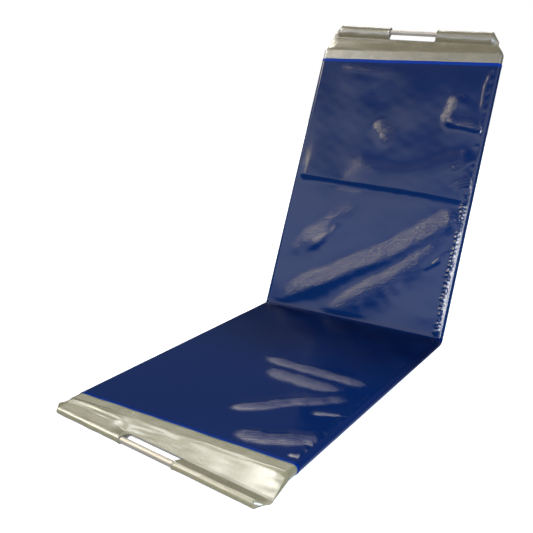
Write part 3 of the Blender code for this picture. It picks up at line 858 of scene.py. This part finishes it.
def pocket(half, side):
    """A tube of liner cloth round one end of the rod, sewn to the flap and flat past the rod's end."""
    flap = FLAPS[half]
    seam = seam_distance(half)
    section = teardrop(POCKET_RADIUS, seam, SEAM_HALF, flap["slack"], 30)
    inner = teardrop(POCKET_RADIUS - POCKET_WALL, seam - 2 * POCKET_WALL, 0.0003, flap["slack"], 30)
    closing = flap["half_seam"] - POCKET_CLOSING
    reach = flap["half_seam"] / math.cos(flap["skew"])
    stations = spaced([(GRIP_HALF, 0.0015), (GRIP_HALF + 0.012, 0.0035), (closing, 0.0018), (reach, 0)])
    bulge = 0.0022 if half == "upper" else 0.0
    seed = 61 + side + (10 if half == "upper" else 0)
    flat = SEAM_HALF / POCKET_RADIUS
    from_seam = np.clip((section[:, 0] + seam) / (seam - 0.001), 0, 1)
    upper_side = np.arange(len(section)) < len(section) / 2
    outward = np.stack([np.gradient(section[:, 1]), -np.gradient(section[:, 0])], axis=-1)
    outward /= -np.linalg.norm(outward, axis=1)[:, None]
    girth = ring_lengths(section)
    rings = []
    for a in stations:
        closed = max(0.0, (a - closing) / (reach - closing))
        square = (a - GRIP_HALF) / (reach - GRIP_HALF) * math.tan(flap["skew"])
        flatten = 1 - (1 - flat) * math.sin(closed * math.pi / 2)
        depth = 1 - 0.75 * closed
        puff = 0.00030 * (1 + waves(girth[:-1], a, seed, 0.03, stretch=(1.0, 2.0)))
        puff = puff + bulge * np.sin(math.pi * from_seam) * upper_side * (1 - closed)
        puff = puff * ease(from_seam * 4) * ease((flap["half_seam"] - a) / 0.02)
        puff = puff + 0.0005 * ease((GRIP_HALF + 0.0045 - a) / 0.0015) * ease(from_seam * 6)
        y = (section[:, 0] + outward[:, 0] * puff + seam) * depth - seam
        z = section[:, 1] + outward[:, 1] * puff
        z = np.sign(z) * np.maximum(np.abs(z) * flatten, np.minimum(np.abs(z), SEAM_HALF))
        straight = tight_height(half, flap["rod"] + section[:, 0]) * (1 - closed * from_seam)
        crest = section[:, 0] < 0.001
        along = side * a + square * y
        lift = seam_lift(half, from_rod(half, along, y)[0])
        z = z + lift * np.maximum(straight - z, 0) * crest * upper_side
        rings.append(rod_place(half, along, y, z))
    lining, rim = 0.03, 0.031    # lengths along the pocket's inside and on over its wall
    inside = []
    for a in (GRIP_HALF + lining, GRIP_HALF):
        inside.append(rod_place(half, np.full(len(inner), side * a), inner[:, 0], inner[:, 1]))
    end = np.repeat(rings[-1].mean(axis=0)[None, :], len(section), axis=0)
    points = np.array([*inside, *rings, end])
    lengths = np.concatenate([[0, lining, rim], rim + np.cumsum(np.diff(stations)), [rim + reach]])
    uv = np.stack(np.meshgrid(girth, lengths), axis=-1)
    name = "left" if side < 0 else "right"
    piece = grid_object(f"{half}_pocket_{name}", points, uv, CLOTH[half], closed=True)
    weld(piece)
    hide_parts(f"{half}_rod_pocket_{name}")
    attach(piece, f"{half}_end_flap")
    return piece


def opening_edge(half):
    """The bound edge of the flap between its two pockets, rounded into the opening's corners. Its dark
    colour is partly the binding's and partly painted shade on the edge's face.
    """
    radius = 0.0013
    corner = 0.0060
    back = -seam_distance(half) - 0.0010
    straight = GRIP_HALF - corner
    along = spaced([(-GRIP_HALF, 0.0006), (-straight, 0.003), (straight, 0.0006), (GRIP_HALF, 0)])
    angles = math.pi * (0.5 - np.arange(9) / 8)
    rings = []
    for a in along:
        into = max(0.0, (abs(a) - GRIP_HALF + corner) / corner)
        front = back + 0.0010 + (seam_distance(half) - 0.0092) * (1 - math.sqrt(max(0.0, 1 - into ** 2)))
        out = np.concatenate([front + radius * np.cos(angles), [back, back]])
        m = np.concatenate([radius * np.sin(angles), [-radius, radius]]) + 0.0001 * math.sin(a / 0.004)
        rings.append(rod_place(half, np.full(len(out), a), out, m))
    uv = np.stack(np.meshgrid(np.linspace(0, 0.012, len(rings[0]) + 1), along), axis=-1)
    edge = grid_object(f"{half}_opening_edge", np.array(rings), uv, BINDING_AND_PAINTED_SHADE, closed=True)
    weld(edge)
    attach(edge, f"{half}_end_flap")
    return edge


def stitch(half, a, inset, face):
    """Points of one stitch at a along the rod, inset from the seam, above the flap or (face -1) below it."""
    angles = 2 * math.pi * np.arange(6) / 6
    rings = []
    for t in (-1, -0.6, 0, 0.6, 1):
        radius = THREAD_RADIUS * math.sqrt(max(0.04, 1 - t * t))
        out = -seam_distance(half) - inset + radius * np.cos(angles)
        x, r = from_rod(half, np.full(6, a + STITCH_HALF * t), out)
        plain = r - math.tan(FLAPS[half]["skew"]) * x
        level = flap_half_height(half, plain) + (liner_rise(half, x, plain[0]) if face > 0 else 0)
        rings.append(flap_place(half, x, r, face * (level + 0.0001) + radius * np.sin(angles)))
    return np.concatenate(rings)


def stitching(half):
    """Rows of thread along the pocket seams, on both faces of the flap."""
    points, faces = [], []
    stops = np.arange(GRIP_HALF + 0.002, FLAPS[half]["half_seam"] - 0.006, 0.0042)
    for side, inset, face, a in itertools.product(SIDES, (0.0022, 0.0050), (1, -1), stops):
        if face > 0 and seam_lift(half, side * a) > 0.02:
            continue
        first = len(points) * 30    # a stitch has 5 rings of 6 points
        points.append(stitch(half, side * a, inset, face))
        faces += (grid_faces(5, 6, closed=True) + first).tolist()
        faces += [list(range(first + 5, first - 1, -1)), list(range(first + 24, first + 30))]
    threads = new_mesh(f"{half}_seam_stitching", np.concatenate(points), faces, CLOTH_THREAD)
    weld(threads)
    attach(threads, f"{half}_end_flap")
    return threads


def liner_fold():
    """The short stretch of liner round the fold, inside the sleeve."""
    x, n, nx, nn = section_columns(np.linspace(FLAT_END, -FLAT_END, 40)).T
    x, n = x - nx * LINER_OUTSET, n - nn * LINER_OUTSET
    first, last = place("lower", x, 0.004, n), place("upper", x, 0.004, n)
    points = np.array(round_fold(first, last, x, n, np.linspace(0, 1, 13)))
    girth = ring_lengths(np.stack([x, n], axis=-1))
    uv = np.stack(np.meshgrid(girth, np.linspace(0, 0.05, 13)), axis=-1)
    cloth = grid_object("liner_fold_cloth", points, uv, CLOTH["lower"], closed=True, flip=True)
    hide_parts("liner_fold")
    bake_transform(cloth)
    return cloth


film = film_sleeve()
hems = [hem("lower"), hem("upper")]
cloths = {half: liner(half) for half in FLAPS}
pockets = {half: [pocket(half, side) for side in SIDES] for half in FLAPS}
edges = {half: opening_edge(half) for half in FLAPS}
threads = {half: stitching(half) for half in FLAPS}
fold_cloth = liner_fold()

looks = {"core_foam": FOAM, "_skin": SKIN, "grip_rod": ROD, "rod_plug": PLUG}
for name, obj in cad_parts.items():
    for part, material in looks.items():
        if part in name:
            for slot in obj.material_slots:
                slot.material = material

# ---- floor, light and camera


def floor():
    """A pale floor just below the board, which glossy rays don't see."""
    m = Nodes("floor_pale")
    m.set(
        Base_Color=(0.60, 0.60, 0.60), Roughness=0.9, Specular_IOR_Level=0.0,
        Emission_Color=(1, 1, 1), Emission_Strength=0.82,
    )
    size, level = 6.0, -0.0002
    points = [(-size, -size, level), (size, -size, level), (size, size, level), (-size, size, level)]
    obj = new_mesh("floor", points, [(0, 1, 2, 3)], m.material, smooth=False)
    obj.visible_glossy = False


def towards(turn, height):
    """The direction at a bearing from +Y towards -X and an elevation, both in degrees."""
    turn, height = math.radians(turn), math.radians(height)
    return Vector((-math.sin(turn) * math.cos(height), math.cos(turn) * math.cos(height), math.sin(height)))


# soft-edged lights in the studio's shell: bearing, elevation, half sizes (radians), radiance, colour
GLOWS = [
    (36, 51, (0.25, 0.27), 13.0, (1.0, 0.99, 0.97)),
    (110, 38, (0.36, 0.19), 24.0, (1.0, 0.92, 0.70)),
    (148, 54, (0.18, 0.12), 3.0, (0.95, 0.94, 1.10)),
]
# radiance of the shell by elevation in degrees, on the camera's side (-Y) and beyond the board
FRONT = [
    (-90, 0.03), (13, 0.04), (19, 1.05), (25, 1.50), (30, 1.40),
    (35, 1.10), (41, 0.36), (48, 0.08), (90, 0.08),
]
BEYOND = [
    (-90, 0.15), (-62, 0.55), (-45, 0.50), (-22, 0.10), (-5, 0.03),
    (8, 0.07), (26, 0.08), (36, 0.12), (50, 0.12), (90, 0.08),
]
SHELL_TINT = (0.95, 1.10, 1.56)


def sky():
    """White where the camera sees it. As light: bands by elevation, with the glows added to them."""
    world = bpy.data.worlds.new("studio")
    bpy.context.scene.world = world
    world.use_nodes = True
    tree = world.node_tree

    def new(kind, inputs=(), output=0, **settings):
        return add_node(tree, kind, inputs, **settings).outputs[output]

    direction = new("ShaderNodeTexCoord", output="Generated")
    axes = add_node(tree, "ShaderNodeSeparateXYZ", {0: direction}).outputs
    level = new("ShaderNodeMapRange", {"Value": axes["Z"], "From Min": -1.0})
    ramps = []
    for stops in (FRONT, BEYOND):
        node = add_node(tree, "ShaderNodeValToRGB", {0: level})
        colour_stops(node.color_ramp, [
            ((math.sin(math.radians(degrees)) + 1) / 2, [part * value for part in SHELL_TINT])
            for degrees, value in stops
        ])
        ramps.append(node.outputs[0])
    side = new("ShaderNodeMapRange", {"Value": axes["Y"], "From Min": -0.25, "From Max": 0.25})
    total = new("ShaderNodeMix", {0: side, 6: ramps[0], 7: ramps[1]}, output=2, data_type="RGBA")
    for turn, height, size, radiance, colour in GLOWS:
        ahead = towards(turn, height)
        rotation = ahead.to_track_quat("Z", "Y").to_euler()
        inputs = {"Vector": direction, "Location": ahead, "Rotation": rotation, "Scale": (*size, 1.0)}
        local = new("ShaderNodeMapping", inputs, vector_type="TEXTURE")
        cone = new("ShaderNodeTexGradient", {0: local}, output="Fac", gradient_type="SPHERICAL")
        soft = new("ShaderNodeMath", {0: cone, 1: 1.4}, operation="POWER")
        bright = [part * radiance for part in colour]
        lobe = new("ShaderNodeVectorMath", {0: bright, "Scale": soft}, operation="SCALE")
        total = new("ShaderNodeVectorMath", {0: total, 1: lobe})
    light = new("ShaderNodeBackground", {0: total, 1: 1.5})
    background = tree.nodes["Background"]
    fill(tree, background.inputs[0], (1, 1, 1))
    fill(tree, background.inputs[1], 1.0)
    seen = new("ShaderNodeLightPath", output="Is Camera Ray")
    chosen = new("ShaderNodeMixShader", {0: seen, 1: light, 2: background.outputs[0]})
    tree.links.new(chosen, tree.nodes["World Output"].inputs[0])


def softbox(name, target, turn, height, size, radiance, colour=(1, 1, 1)):
    """An area light 3 m from its target, on the bearing and elevation that towards() takes."""
    distance = 3.0
    ahead = towards(turn, height)
    data = bpy.data.lights.new(name, "AREA")
    data.shape = "RECTANGLE"
    data.size, data.size_y = size
    data.color = colour
    data.energy = math.pi * size[0] * size[1] * radiance
    obj = bpy.data.objects.new(name, data)
    bpy.context.scene.collection.objects.link(obj)
    obj.location = Vector(target) + distance * ahead
    obj.rotation_euler = (-ahead).to_track_quat("-Z", "Y").to_euler()
    obj.visible_camera = False


def camera():
    """The camera fitted to the photo's edges."""
    data = bpy.data.cameras.new("camera")
    data.lens = 51.5004
    data.sensor_width = 36.0
    data.clip_start, data.clip_end = 0.01, 100
    obj = bpy.data.objects.new("camera", data)
    bpy.context.scene.collection.objects.link(obj)
    right = Vector((0.849178, 0.52761, 0.022903))
    up = Vector((-0.162778, 0.220238, 0.961768))
    back = Vector((0.502394, -0.820441, 0.272905))
    place_at = Matrix.Translation((0.8653, -1.474419, 0.750209))
    obj.matrix_world = place_at @ Matrix((right, up, back)).transposed().to_4x4()
    bpy.context.scene.camera = obj


floor()
sky()
softbox("softbox_side", (0, -0.2, 0), 88, 51, (1.0, 0.8), 9.0, (0.95, 0.97, 1.0))
softbox("softbox_right", (0.27, 0.45, 0.2), -133, 21, (0.8, 0.8), 42.0, (0.85, 1.0, 1.40))
camera()
bpy.context.scene.view_settings.view_transform = "Standard"
